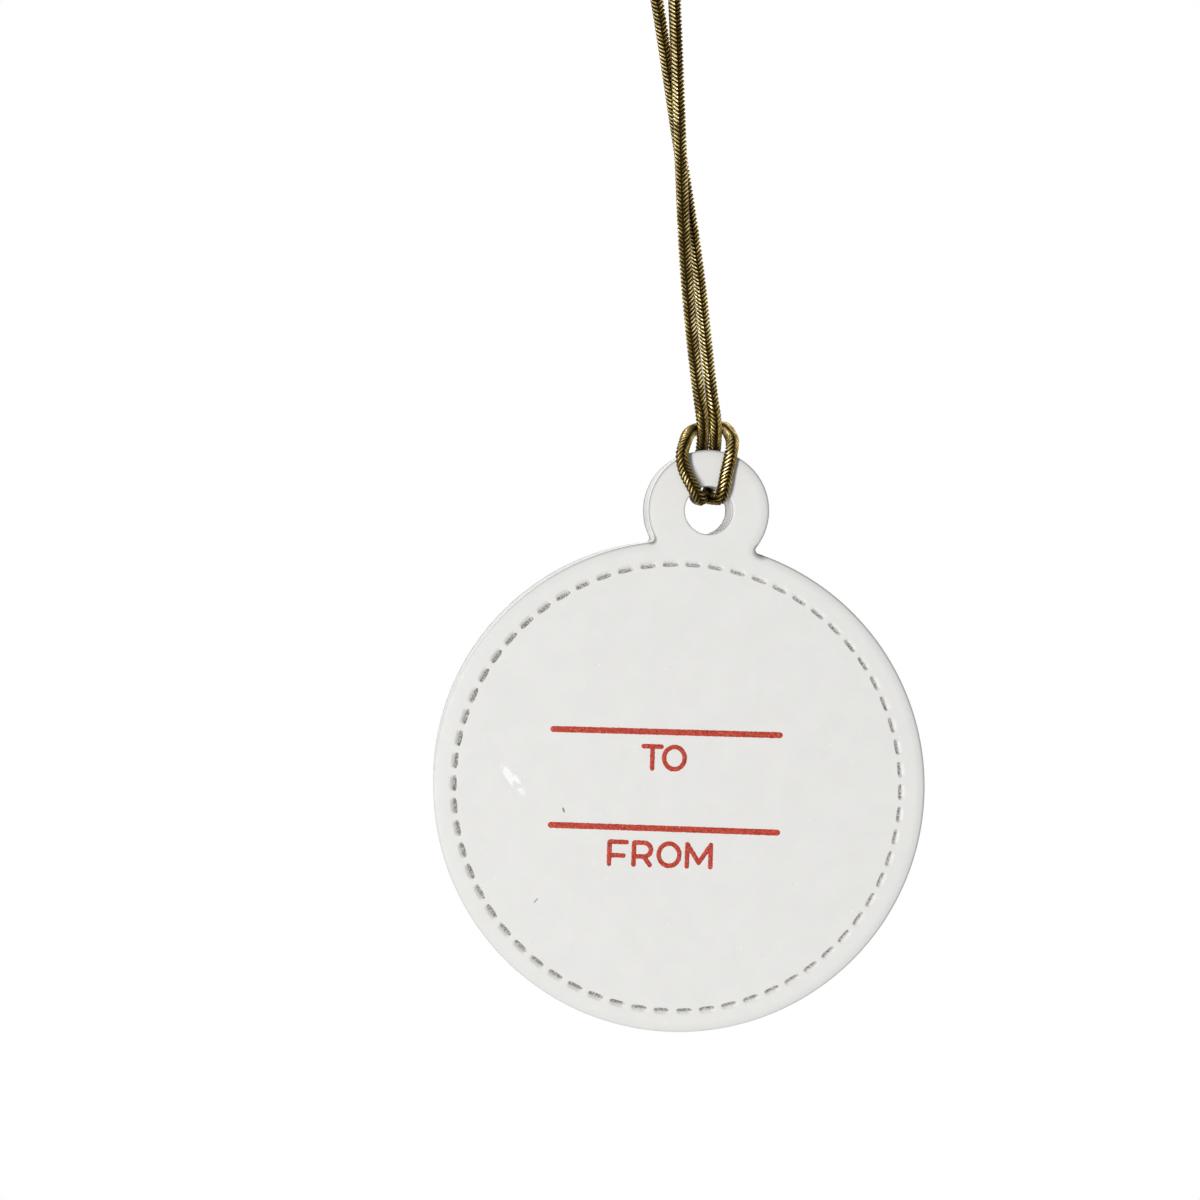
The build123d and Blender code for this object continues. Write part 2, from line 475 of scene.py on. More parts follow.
class Finish(Nodes):
    """A material with its surface and the patterns that the finishes share."""

    def __init__(self, name):
        self.material = bpy.data.materials.new(name)
        self.material.use_nodes = True
        super().__init__(self.material.node_tree)
        self.surface = self.tree.nodes["Principled BSDF"]

    def set(self, **inputs):
        """Set or link the surface's inputs, with spaces for underscores."""
        for name, value in inputs.items():
            self.put(self.surface.inputs[name.replace("_", " ")], value)

    def place(self):
        """The place of a point on the piece, in metres."""
        return self.add("TexCoord").outputs["Object"]

    def attribute(self, name):
        """A value that the mesh carries."""
        return self.add("Attribute", attribute_name=name).outputs["Fac"]

    def part(self, vector, axis):
        """A vector's X, Y or Z."""
        return self.add("SeparateXYZ", {0: vector}).outputs[axis]

    def measure(self, operation, first, second=(0, 0, 0)):
        """A value that comes from vectors, such as their distance."""
        return self.add("VectorMath", {0: first, 1: second}, operation=operation).outputs["Value"]

    def noise(self, size, detail=2.0, roughness=0.5):
        """Noise whose patches are about that many metres wide."""
        inputs = {"Vector": self.place(), "Scale": 1 / size, "Detail": detail, "Roughness": roughness}
        return self.add("TexNoise", inputs).outputs["Fac"]

    def span(self, value, low, high, to_low=0.0, to_high=1.0):
        """Map a value from one span to another, held at its ends."""
        inputs = {"Value": value, "From Min": low, "From Max": high, "To Min": to_low, "To Max": to_high}
        return self.add("MapRange", inputs, clamp=True).outputs["Result"]

    def blend(self, share, first, second):
        """Blend two colours."""
        node = self.add("Mix", {"Factor": share}, data_type="RGBA")
        for name, value in (("A", first), ("B", second)):
            socket = next(item for item in node.inputs if item.name == name and item.type == "RGBA")
            self.put(socket, value if isinstance(value, bpy.types.NodeSocket) else (*value, 1.0))
        return next(item for item in node.outputs if item.type == "RGBA")

    def specks(self, spacing, radius, share):
        """A mask of small dots: some of the cells of a grid with jitter have one."""
        cells = self.add("TexVoronoi", {"Vector": self.place(), "Scale": 1 / spacing})
        draw = self.add("SeparateColor", {0: cells.outputs["Color"]}).outputs[0]
        near = self.math("LESS_THAN", cells.outputs["Distance"], radius / spacing)
        return self.math("MULTIPLY", near, self.math("LESS_THAN", draw, share))

    def bump(self, height, depth):
        """Bump of that depth in metres."""
        return self.add("Bump", {"Height": height, "Distance": depth, "Strength": 1.0}).outputs["Normal"]


def scaled(colour, factor):
    """A colour made lighter or darker."""
    return tuple(channel * factor for channel in colour)


# Colour of the fine bright specks on the face, which are painted glints
PAINTED_SPARKLE_COLOUR = (0.97, 0.97, 0.96)
DUST_COLOUR = (0.42, 0.41, 0.38)
# Colour of the painted shade in the stitch dents
DENT_SHADE_COLOUR = (0.17, 0.155, 0.14)
# Colour of the painted shade in the neck corners
NECK_SHADE_COLOUR = (0.12, 0.11, 0.10)
SMUDGE_COLOUR = (0.30, 0.28, 0.25)
JOINT_COLOUR = (0.68, 0.67, 0.64)
WORN_INK_COLOUR = (0.72, 0.2, 0.14)
# Colour of the painted glints on the yarn
GLINT_COLOUR = (1.0, 0.86, 0.46)
# How dark the painted shade in the dents is at the left, the right and the top of the ring, against its foot
DENT_SHADE_LEFT = 1.9
DENT_SHADE_RIGHT = 0.9
DENT_SHADE_TOP = 0.8
# The side of the tag on which the painted shade line along its rim is darkest
SHADED_RIM_SIDE = (0.75, 0, 0.66)
# How far a face mark reaches into the tag, in millimetres
FACE_MARK_DEPTH = 2
FILAMENTS = 9
PLY = 0.28 * MM


def speckled_tone(finish, colour):
    """Clouded white with fine painted glints as bright specks, and a few dust specks."""
    cloud = finish.span(finish.noise(3.0 * MM, detail=4.0), 0.3, 0.7)
    tone = finish.blend(cloud, scaled(colour, 0.985), scaled(colour, 1.015))
    # Painted glints: fine bright specks
    tone = finish.blend(finish.specks(spacing=1.7 * MM, radius=0.09 * MM, share=0.5), tone, PAINTED_SPARKLE_COLOUR)
    return finish.blend(finish.specks(spacing=7.0 * MM, radius=0.1 * MM, share=0.22), tone, DUST_COLOUR)


def dent_shade_tone(finish, tone, from_middle):
    """Painted shade in the stitch dents: dark, mottled floors, darkest at the ring's left, lighter at its
    right and top.
    """
    across = finish.part(from_middle, "X")
    left = finish.span(across, -25 * MM, 5 * MM, DENT_SHADE_LEFT, 1.0)
    right = finish.span(across, 5 * MM, 30 * MM, 1.0, DENT_SHADE_RIGHT)
    top = finish.span(finish.part(from_middle, "Z"), 20 * MM, 29 * MM, 1.0, DENT_SHADE_TOP)
    mottle = finish.span(finish.noise(0.26 * MM, detail=3.0, roughness=0.7), 0.38, 0.58, 0.35, 1.1)
    # Painted shade in the dents, darker at the left of the ring
    dent_shade = finish.math("MULTIPLY", finish.attribute("painted_dent_shade"), left)
    dent_shade = finish.math("MULTIPLY", finish.math("MINIMUM", dent_shade, right), top)
    return finish.blend(finish.math("MULTIPLY", dent_shade, mottle), tone, DENT_SHADE_COLOUR)


def cut_edge_tone(finish, tone, facing, edge, from_middle):
    """A greyer rounded rim and a dark rim line, both painted shade, a pale cut wall and a dark back facing
    wall.
    """
    colour = tuple(facing.colour)
    # Painted shade: the rounded rim is greyer
    rounded = finish.span(edge, 0.05, 0.6)
    wall = finish.span(edge, 0.9, 1.0)
    # Painted shade: a dark line along the rim, darkest on the upper right
    rim_shade_line = finish.math("MULTIPLY", finish.span(edge, 0.55, 0.85), finish.span(edge, 0.9, 1.0, 1.0, 0.0))
    side = finish.measure("DOT_PRODUCT", from_middle, SHADED_RIM_SIDE)
    rim_shade_line = finish.math("MULTIPLY", rim_shade_line, finish.span(side, -10 * MM, 15 * MM, 0.3, 0.9))
    depth = finish.part(finish.place(), "Y")
    behind = finish.span(depth, board_half + 0.05 * MM, board_half + 0.3 * MM)
    worn = finish.span(finish.noise(0.5 * MM, detail=3.0, roughness=0.7), 0.35, 0.6, 0.35, 1.0)
    back_line = finish.math("MULTIPLY", finish.math("MULTIPLY", behind, wall), worn)
    tone = finish.blend(rounded, tone, scaled(colour, 0.92))
    tone = finish.blend(wall, tone, tuple(facing.board_colour))
    tone = finish.blend(rim_shade_line, tone, scaled(colour, 0.35))
    return finish.blend(back_line, tone, scaled(colour, 0.22))


def neck_shade_tone(finish, tone, edge):
    """Painted shade on the cut edge in the neck corners."""
    on_edge = finish.span(edge, 0.1, 0.5)
    # Painted shade near each neck corner
    for place, reach in NECK_SHADES:
        away = finish.measure("DISTANCE", finish.place(), face_centre + Vector(place) * MM)
        near = finish.span(away, 0.3 * reach * MM, reach * MM, 0.9, 0.0)
        tone = finish.blend(finish.math("MULTIPLY", near, on_edge), tone, NECK_SHADE_COLOUR)
    return tone


def face_flecks_and_glint_tone(finish, tone):
    """A broken painted glint streak and a few broken dark flecks on the face."""
    broken = finish.span(finish.noise(1.1 * MM, detail=4.0, roughness=0.65), 0.42, 0.5)
    for (across, up), turn, half_length, half_width, mark_colour in FACE_FLECKS_AND_GLINT:
        inputs = {
            "Vector": finish.place(),
            "Location": face_centre + Vector((across, 0, up)) * MM,
            "Rotation": (0, -math.radians(turn), 0),
            "Scale": (half_length * MM, FACE_MARK_DEPTH * MM, half_width * MM),
        }
        spot = finish.add("Mapping", inputs, vector_type="TEXTURE").outputs["Vector"]
        near = finish.span(finish.measure("LENGTH", spot), 0.7, 1.0, 1.0, 0.0)
        tone = finish.blend(finish.math("MULTIPLY", near, broken), tone, mark_colour)
    return tone


def facing_material(facing):
    """White coated sheet with a soft grain, dents and a cut edge with painted shade, and a few marks."""
    finish = Finish("white_coated_facing")
    subtract = finish.add("VectorMath", {0: finish.place(), 1: face_centre}, operation="SUBTRACT")
    from_middle = subtract.outputs["Vector"]
    edge = finish.attribute("edge")
    tone = speckled_tone(finish, tuple(facing.colour))
    tone = dent_shade_tone(finish, tone, from_middle)
    tone = cut_edge_tone(finish, tone, facing, edge, from_middle)
    tone = neck_shade_tone(finish, tone, edge)
    tone = face_flecks_and_glint_tone(finish, tone)
    rough = finish.span(finish.noise(1.2 * MM, detail=3.0), 0.3, 0.7, 0.42, 0.56)
    grain = finish.noise(0.22 * MM, detail=3.0, roughness=0.6)
    finish.set(Base_Color=tone, Roughness=rough, Specular_IOR_Level=0.4)
    finish.set(Normal=finish.bump(grain, 0.012 * MM))
    return finish.material


def board_material(facing):
    """Cut edge of pale board: thin plies, rough fibre, smudges, and a darker joint under each facing."""
    finish = Finish("pale_cut_board")
    colour = tuple(facing.board_colour)
    depth = finish.part(finish.place(), "Y")
    from_joint = finish.math("SUBTRACT", finish.math("ABSOLUTE", depth), board_half)
    joint = finish.span(finish.math("ABSOLUTE", from_joint), 0.05 * MM, 0.16 * MM, 1.0, 0.0)
    ply = finish.math("SINE", finish.math("MULTIPLY", depth, FULL_TURN / PLY))
    fibre = finish.noise(0.35 * MM, detail=5.0, roughness=0.65)
    smudge = finish.span(finish.noise(0.7 * MM, detail=4.0, roughness=0.7), 0.6, 0.68, 0.0, 0.6)
    tone = finish.blend(finish.span(fibre, 0.35, 0.65), scaled(colour, 0.9), colour)
    tone = finish.blend(finish.span(ply, 0.2, 1.0, 0.0, 0.15), tone, scaled(colour, 0.72))
    tone = finish.blend(smudge, tone, SMUDGE_COLOUR)
    tone = finish.blend(joint, tone, JOINT_COLOUR)
    height = finish.math("ADD", fibre, finish.math("MULTIPLY", ply, 0.2))
    finish.set(Base_Color=tone, Roughness=0.8, Specular_IOR_Level=0.2)
    finish.set(Normal=finish.bump(height, 0.02 * MM))
    return finish.material


def ink_material(colour):
    """Raised red ink, mottled, with worn grains and small glints."""
    finish = Finish("raised_red_ink")
    grain = finish.noise(0.3 * MM, detail=4.0, roughness=0.65)
    worn = finish.span(finish.noise(0.2 * MM, detail=3.0, roughness=0.6), 0.56, 0.68)
    tone = finish.blend(finish.span(grain, 0.36, 0.64), scaled(colour, 0.6), scaled(colour, 1.45))
    tone = finish.blend(worn, tone, WORN_INK_COLOUR)
    finish.set(Base_Color=tone, Roughness=finish.span(grain, 0.3, 0.7, 0.32, 0.6))
    finish.set(Specular_IOR_Level=0.3, Normal=finish.bump(grain, 0.03 * MM))
    return finish.material


def yarn_material(colour):
    """Gold film yarn with painted light: bright mid-pick, dark where a pick dives under, patchy along the
    cord.
    """
    finish = Finish("gold_film_yarn")
    fine = finish.span(finish.noise(0.4 * MM, roughness=0.6), 0.3, 0.7, 0.6, 1.3)
    broad = finish.span(finish.noise(4.0 * MM, roughness=0.6), 0.3, 0.7, 0.6, 1.4)
    # Painted light from each pick's value, made patchy along the cord
    light = finish.math("MULTIPLY", finish.attribute("pick_light"), finish.math("MULTIPLY", fine, broad))
    # Painted shade where a pick dives under, painted highlight on its middle
    tone = finish.blend(finish.span(light, 0.15, 0.6), scaled(colour, 0.14), colour)
    # Painted glints
    tone = finish.blend(finish.span(light, 0.55, 0.85), tone, GLINT_COLOUR)
    round_pick = finish.part(finish.add("UVMap").outputs["UV"], "X")
    filament = finish.math("SINE", finish.math("MULTIPLY", round_pick, FULL_TURN * FILAMENTS))
    finish.set(Base_Color=tone, Metallic=1.0, Roughness=0.3, Normal=finish.bump(filament, 0.012 * MM))
    return finish.material


def core_shade_material(colour):
    """Core that shows between the picks, coloured near black as painted shade."""
    finish = Finish("core_painted_shade")
    fibre = finish.noise(0.15 * MM, detail=4.0, roughness=0.6)
    tone = finish.blend(fibre, scaled(colour, 0.6), scaled(colour, 1.5))
    finish.set(Base_Color=tone, Roughness=0.75, Specular_IOR_Level=0.05)
    return finish.material


# Facings

# Steps of the mesh
SECTOR_STEPS = 22
RING_STEPS = 24
RIM_STEPS = 8
TAB_STEPS = 72
NECK_STEPS = 12
DISC_STEPS = 420
HOLE_STEPS = 96
# Width of the stitched ring inside and outside its radius, and where a dent's inner wall starts
RING_INSIDE = 0.75 * MM
RING_OUTSIDE = 0.75 * MM
STITCH_INNER_EDGE = -0.57 * MM
# Length of a dent's rising end, its share within the dent's length, and how its two sides draw in there
STITCH_END = 0.6 * MM
END_SHARE_INSIDE = 0.7
END_INNER_DRAW = 0.2
END_OUTER_DRAW = 0.3
# Painted shade: a dark core that fades past the floor, a faint halo on the slope, and how late the ends fade
CORE_LEAD = 0.1 * MM
CORE_FADE = 0.4 * MM
HALO_STRENGTH = 0.17
HALO_FADE = 0.8 * MM
DENT_SHADE_REACH = 2.5
# Points closer than this are merged, in millimetres
WELD = 0.001
RIM_SHARP_ANGLE = math.radians(40)


def press(facing, offset, along):
    """Depth of a stitch dent and its painted shade at a point outwards from the ring and along it."""
    past_straight = max(0.0, abs(along) - facing.stitch_length / 2 + END_SHARE_INSIDE * STITCH_END)
    from_inner = offset - STITCH_INNER_EDGE - END_INNER_DRAW * past_straight
    from_floor = from_inner - facing.stitch_wall - facing.stitch_floor + END_OUTER_DRAW * past_straight
    wall = smooth_step(from_inner / facing.stitch_wall)
    slope = 1 - smooth_step(from_floor / facing.stitch_slope)
    end = 1 - smooth_step(past_straight / STITCH_END)
    core = 1 - smooth_step((from_floor + CORE_LEAD) / CORE_FADE)
    halo = HALO_STRENGTH * (1 - smooth_step(from_floor / HALO_FADE))
    depth = facing.stitch_depth * wall * slope * end
    dent_shade = wall * max(core, halo) * smooth_step(DENT_SHADE_REACH * end)
    return depth, dent_shade


def stitch_ring(facing):
    """Press one stitch into a sector of the face, spin it round and close the middle, in millimetres."""
    sector_turn = FULL_TURN / facing.stitch_count
    deselect_all()
    bpy.ops.mesh.primitive_grid_add(x_subdivisions=SECTOR_STEPS, y_subdivisions=RING_STEPS, size=1)
    ring = bpy.context.object
    ring.data.attributes.new("edge", "FLOAT", "POINT")
    # Painted shade in the dents, kept as a value on each point
    painted_dent_shade = ring.data.attributes.new("painted_dent_shade", "FLOAT", "POINT")
    for vertex in ring.data.vertices:
        offset = (vertex.co.y + 0.5) * (RING_INSIDE + RING_OUTSIDE) - RING_INSIDE
        radius = facing.stitch_ring + offset
        turn = (vertex.co.x + 0.5) * sector_turn + facing.stitch_start
        depth, dent_shade = press(facing, offset, vertex.co.x * sector_turn * radius)
        vertex.co = Vector((radius * math.sin(turn), radius * math.cos(turn), -depth)) / MM
        painted_dent_shade.data[vertex.index].value = dent_shade
    copies = facing.stitch_count - 1
    enter_edit()
    bpy.ops.mesh.spin(
        steps=copies, dupli=True, angle=sector_turn * copies, center=(0, 0, 0), axis=(0, 0, 1)
    )
    bpy.ops.mesh.select_all(action="SELECT")
    bpy.ops.mesh.remove_doubles(threshold=WELD)
    select_boundary(ring, lambda point: point.length < facing.stitch_ring / MM)
    bpy.ops.mesh.edge_face_add()
    bpy.ops.mesh.select_all(action="SELECT")
    bpy.ops.transform.translate(value=(facing.stitch_shift[0] / MM, facing.stitch_shift[1] / MM, 0))
    return ring


def bare_plate():
    """An empty piece in edit mode, for a facing with no stitches."""
    deselect_all()
    bpy.ops.mesh.primitive_plane_add(size=1)
    plate = bpy.context.object
    plate.data.attributes.new("edge", "FLOAT", "POINT")
    enter_edit()
    bpy.ops.mesh.delete(type="VERT")
    return plate


def clockwise_arc(centre, radius, start, end, steps):
    """Points of an arc by its turn from straight up, without its last one."""
    turns = [start + (end - start) * step / steps for step in range(steps)]
    return [(centre[0] + radius * math.sin(turn), centre[1] + radius * math.cos(turn)) for turn in turns]


def tag_outline(facing, inset):
    """The tab, its neck corners and the disc as one clockwise loop, drawn in from the cut edge."""
    to_neck_disc = disc_radius + facing.neck_radius
    to_neck_tab = facing.tab_radius + facing.neck_radius
    neck_up = (to_neck_disc**2 - to_neck_tab**2 + tab_rise**2) / (2 * tab_rise)
    neck_out = math.sqrt(to_neck_disc**2 - neck_up**2)
    disc_turn = math.atan2(neck_out, neck_up)
    tab_turn = math.atan2(neck_out, neck_up - tab_rise)
    corner = facing.neck_radius + inset
    right_corner = (neck_out, neck_up)
    left_corner = (-neck_out, neck_up)
    loop = clockwise_arc((0, tab_rise), facing.tab_radius - inset, -tab_turn, tab_turn, TAB_STEPS)
    loop += clockwise_arc(right_corner, corner, tab_turn + HALF_TURN, disc_turn + HALF_TURN, NECK_STEPS)
    loop += clockwise_arc((0, 0), disc_radius - inset, disc_turn, FULL_TURN - disc_turn, DISC_STEPS)
    loop += clockwise_arc(left_corner, corner, -disc_turn - HALF_TURN, -tab_turn - HALF_TURN, NECK_STEPS)
    return loop


def hole_outline(facing, inset):
    """The hole in the tab as a clockwise loop, drawn out from its wall."""
    return clockwise_arc((0, tab_rise), facing.hole_radius + inset, 0, FULL_TURN, HOLE_STEPS)


def rim_levels(outline, facing, rounding):
    """Loops of a rim in millimetres, from the glued side up the wall and over its rounded edge."""
    levels = [(0.0, -facing_thickness)]
    for step in range(RIM_STEPS + 1):
        turn = QUARTER_TURN * step / RIM_STEPS
        levels.append((rounding[0] * (1 - math.cos(turn)), -rounding[1] * (1 - math.sin(turn))))
    return [[Vector((x, y, level)) / MM for x, y in outline(facing, inset)] for inset, level in levels]


def extrude_rim(piece, loops):
    """In edit mode, add a ring of points on the first loop and extrude it from loop to loop.

    The edge value falls from 1 on the wall to 0 on the face.
    """
    count = len(loops[0])
    bpy.ops.mesh.primitive_circle_add(vertices=count, radius=1, fill_type="NOTHING")
    mesh = bmesh.from_edit_mesh(piece.data)
    edge = mesh.verts.layers.float["edge"]
    for vertex in [vertex for vertex in mesh.verts if vertex.select]:
        turn = math.atan2(vertex.co.x, vertex.co.y) % FULL_TURN
        vertex.co = loops[0][round(turn * count / FULL_TURN) % count]
        vertex[edge] = 1.0
    bmesh.update_edit_mesh(piece.data)
    for step, (start, target) in enumerate(zip(loops, loops[1:])):
        bpy.ops.mesh.extrude_region()
        moves = {point.to_tuple(): goal for point, goal in zip(start, target)}
        mesh = bmesh.from_edit_mesh(piece.data)
        edge = mesh.verts.layers.float["edge"]
        for vertex in [vertex for vertex in mesh.verts if vertex.select]:
            vertex.co = moves[vertex.co.to_tuple()]
            vertex[edge] = 1 - step / (len(loops) - 2)
        bmesh.update_edit_mesh(piece.data)


def model_facing(facing, plate, name, place, turn):
    """A facing from a plate in edit mode: its rims are added, and its two sides closed between them."""
    bpy.ops.mesh.select_mode(type="VERT")
    extrude_rim(plate, rim_levels(tag_outline, facing, facing.rim_round))
    extrude_rim(plate, rim_levels(hole_outline, facing, facing.hole_round))
    middle = -facing_thickness / MM / 2
    select_boundary(plate, lambda point: point.z > middle)
    bpy.ops.mesh.fill()
    select_boundary(plate, lambda point: point.z < middle)
    bpy.ops.mesh.fill()
    leave_edit()
    plate.name = name
    plate.data.name = name
    lay_on_face(plate, Vector())
    plate.matrix_world = Matrix.Translation(place) @ Matrix.Rotation(turn, 4, "Z")
    apply_place()
    bpy.ops.object.shade_smooth_by_angle(angle=RIM_SHARP_ANGLE)
    plate.modifiers.new("even_normals", "WEIGHTED_NORMAL").keep_sharp = True
    apply_modifiers(plate)
    return plate


# Print


def arc(centre, across, up, start, end, steps=16):
    """Points along part of an ellipse, with its angles in degrees from the right, counterclockwise."""
    turns = [math.radians(start + (end - start) * step / steps) for step in range(steps + 1)]
    return [(centre[0] + across * math.cos(turn), centre[1] + up * math.sin(turn)) for turn in turns]


# Letter strokes in millimetres about the middle of each letter, with CAP for half the letters' height
CAP = 1.43
BOWL = arc((0.15, 0.54), 0.95, 0.89, 90, -90)
LETTER_STROKES = {
    "T": [[(-1.15, CAP), (1.15, CAP)], [(0, CAP), (0, -CAP)]],
    "O": [arc((0, 0), 1.33, CAP, 0, 360, steps=40)],
    "F": [[(-1.0, -CAP), (-1.0, CAP)], [(-1.0, CAP), (1.2, CAP)], [(-1.0, -0.3), (0.8, -0.3)]],
    "R": [
        [(-1.1, -CAP), (-1.1, CAP)],
        [(-1.1, CAP), (0.15, CAP), *BOWL, (0.15, -0.35), (-1.1, -0.35)],
        [(0.2, -0.35), (1.0, -CAP)],
    ],
    "M": [
        [(-1.52, -CAP), (-1.52, CAP)],
        [(-1.52, CAP), (0, -0.9)],
        [(0, -0.9), (1.52, CAP)],
        [(1.52, CAP), (1.52, -CAP)],
    ],
}
# Letters of each label with the place of each one's middle in millimetres, and the label's shift on its line
TO_LETTERS = [("T", -1.5), ("O", 1.35)]
TO_SHIFT = -0.25 * MM
FROM_LETTERS = [("F", -5.55), ("R", -2.3), ("O", 1.15), ("M", 5.0)]
FROM_SHIFT = -0.4 * MM
# Fineness of the ink's mesh, and depth and size of its ragged edge, in millimetres
INK_VOXEL = 0.055
INK_RAGGED = 0.11
INK_RAGGED_SIZE = 0.28
INK_SHARP_ANGLE = math.radians(60)


def label_strokes(letters):
    """Strokes of a word from its letters and their places, in millimetres."""
    strokes = []
    for letter, place in letters:
        strokes += [[(x + place, y) for x, y in stroke] for stroke in LETTER_STROKES[letter]]
    return strokes


def stroke_tube(points, width):
    """One stroke of ink in millimetres, drawn as a tube with a ball at each of its points."""
    curve = bpy.data.curves.new("stroke", "CURVE")
    curve.dimensions = "3D"
    curve.bevel_depth = width / 2
    curve.bevel_resolution = 3
    curve.use_fill_caps = True
    spline = curve.splines.new("POLY")
    spline.points.add(len(points) - 1)
    for control, (x, y) in zip(spline.points, points):
        control.co = (x, y, 0, 1)
    tube = bpy.data.objects.new("stroke", curve)
    bpy.context.collection.objects.link(tube)
    make_active(tube)
    bpy.ops.object.convert(target="MESH")
    parts = [bpy.context.object]
    for x, y in points:
        deselect_all()
        bpy.ops.mesh.primitive_uv_sphere_add(segments=12, ring_count=8, radius=width / 2, location=(x, y, 0))
        parts.append(bpy.context.object)
    return join_pieces(parts, "stroke")


def roughen(ink):
    """Run the strokes of a piece of ink together and make their edges ragged."""
    ink.data.remesh_voxel_size = INK_VOXEL
    bpy.ops.object.voxel_remesh()
    ragged = bpy.data.textures.new("ink_edge", "CLOUDS")
    ragged.noise_scale = INK_RAGGED_SIZE
    ragged.noise_depth = 2
    displace = ink.modifiers.new("ragged_edge", "DISPLACE")
    displace.texture = ragged
    displace.texture_coords = "LOCAL"
    displace.strength = INK_RAGGED
    displace.mid_level = 0.5
    apply_modifiers(ink)


def print_ink(name, strokes, width, relief, place, turn):
    """Draw strokes in millimetres, roughen them, press them flat and print them on the face."""
    ink = join_pieces([stroke_tube(points, width) for points in strokes], name)
    apply_place()
    roughen(ink)
    enter_edit()
    bpy.ops.mesh.bisect(plane_co=(0, 0, 0), plane_no=(0, 0, 1), clear_inner=True)
    select_boundary(ink, lambda point: True)
    bpy.ops.mesh.fill()
    bpy.ops.mesh.select_all(action="SELECT")
    bpy.ops.transform.resize(value=(1, 1, relief / MM / (width / 2)), center_override=(0, 0, 0))
    leave_edit()
    lay_on_face(ink, place, turn)
    bpy.ops.object.shade_smooth_by_angle(angle=INK_SHARP_ANGLE)
    return ink


def print_place(ink, across, up):
    """A point of the print, measured along and across its lines from its middle, on the face."""
    upper = sum(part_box("upper_writing_line"), Vector()) / 2
    lower = sum(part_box("lower_writing_line"), Vector()) / 2
    middle = (upper + lower) / 2
    along = Vector((math.cos(ink.skew), 0, math.sin(ink.skew)))
    upwards = Vector((-math.sin(ink.skew), 0, math.cos(ink.skew)))
    place = middle + along * across + upwards * up
    place.y = face_centre.y
    return place


# Cord

FRONT = Vector((0, -1, 0))
# Radius of the knot's turns in millimetres, and the steps of each
KNOT_RADIUS = 2.3
KNOT_STEPS = 14
# A pick's length and width against its column and row, its height, and the core's radius against the cord's
# diameter
PICK_REACH = 1.02
PICK_WIDTH = 0.7
PICK_HEIGHT = 0.46 * MM
CORE_SHARE = 0.36
# Rows of the braid are merged where their points are closer than this
ROW_WELD = 0.002 * MM
# The braid's roll counts where this much of the front's direction lies across the line
SIDE_SHOWN = 0.8
# Painted shade on the hitch: the share of light it keeps, where that ends above the hole, and over what
# height, in millimetres
HITCH_LIGHT = 0.63
HITCH_TOP = 8
HITCH_FADE = 5
# Half width of a gleam and how far it fades past that, in millimetres
GLEAM_HALF_WIDTH = 0.25
GLEAM_FADE = 0.5
# The stretch over which the cord bends, above and below its joint
BEND_ABOVE = 3.5 * MM
BEND_BELOW = 2.8 * MM


def knot_place(cord, point):
    """A point of the knot's own frame, in metres in the row's frame."""
    foot = hole_centre + Vector(KNOT_FOOT) * MM
    across = Vector((math.cos(cord.lean), 0, math.sin(cord.lean)))
    up = Vector((-math.sin(cord.lean), 0, math.cos(cord.lean)))
    return foot + (across * point[0] + Vector((0, point[1], 0)) + up * point[2]) * MM


def knot_turn(start, rise_from, rise_to):
    """One turn of a strand round the knot, in the knot's frame."""
    points = []
    for step in range(KNOT_STEPS + 1):
        share = step / KNOT_STEPS
        turn = math.radians(start + 360 * share)
        rise = rise_from + (rise_to - rise_from) * share
        points.append((KNOT_RADIUS * math.cos(turn), KNOT_RADIUS * math.sin(turn), rise))
    return points


def cord_points(cord):
    """Control points of the whole cord with the braid's roll at each, from the left cut end to the right."""
    rear_knot = REAR_INTO_KNOT + knot_turn(*REAR_KNOT_TURN) + REAR_OUT_OF_KNOT + LEFT_TAIL
    front_knot = FRONT_INTO_KNOT + knot_turn(*FRONT_KNOT_TURN) + FRONT_OUT_OF_KNOT + RIGHT_TAIL
    points = [knot_place(cord, point) for point in rear_knot[::-1]]
    points += [hole_centre + Vector(point) * MM for point in REAR_ROUTE[::-1] + HITCH_ROUTE + FRONT_ROUTE]
    points += [knot_place(cord, point) for point in front_knot]
    rolls = [REAR_KNOT_ROLL] * len(rear_knot) + REAR_ROLL + HITCH_ROLL
    rolls += FRONT_ROLL + [FRONT_KNOT_ROLL] * len(front_knot)
    return points, rolls


def draw_cord_line(points):
    """The cord's smooth line, with the route's points as its control points."""
    curve = bpy.data.curves.new("cord_line", "CURVE")
    curve.dimensions = "3D"
    curve.resolution_u = 12
    spline = curve.splines.new("NURBS")
    spline.points.add(len(points) - 1)
    for control, point in zip(spline.points, points):
        control.co = (*point, 1)
    spline.order_u = 3
    spline.use_endpoint_u = True
    line = bpy.data.objects.new("cord_line", curve)
    bpy.context.collection.objects.link(line)
    return line


def line_points(line):
    """Points along a bare line, which is then taken away."""
    mesh = bpy.data.meshes.new_from_object(line)
    points = [vertex.co.copy() for vertex in mesh.vertices]
    bpy.data.meshes.remove(mesh)
    bpy.data.objects.remove(line, do_unlink=True)
    return points


def carry_across(points):
    """Distance, point, direction along and direction across at each point, carried along without twist."""
    travelled = 0.0
    across = FRONT
    carried = []
    for index, point in enumerate(points):
        before = points[max(index - 1, 0)]
        after = points[min(index + 1, len(points) - 1)]
        along = (after - before).normalized()
        travelled += (point - before).length
        across = (across - along * across.dot(along)).normalized()
        carried.append((travelled, point, along, across))
    return carried


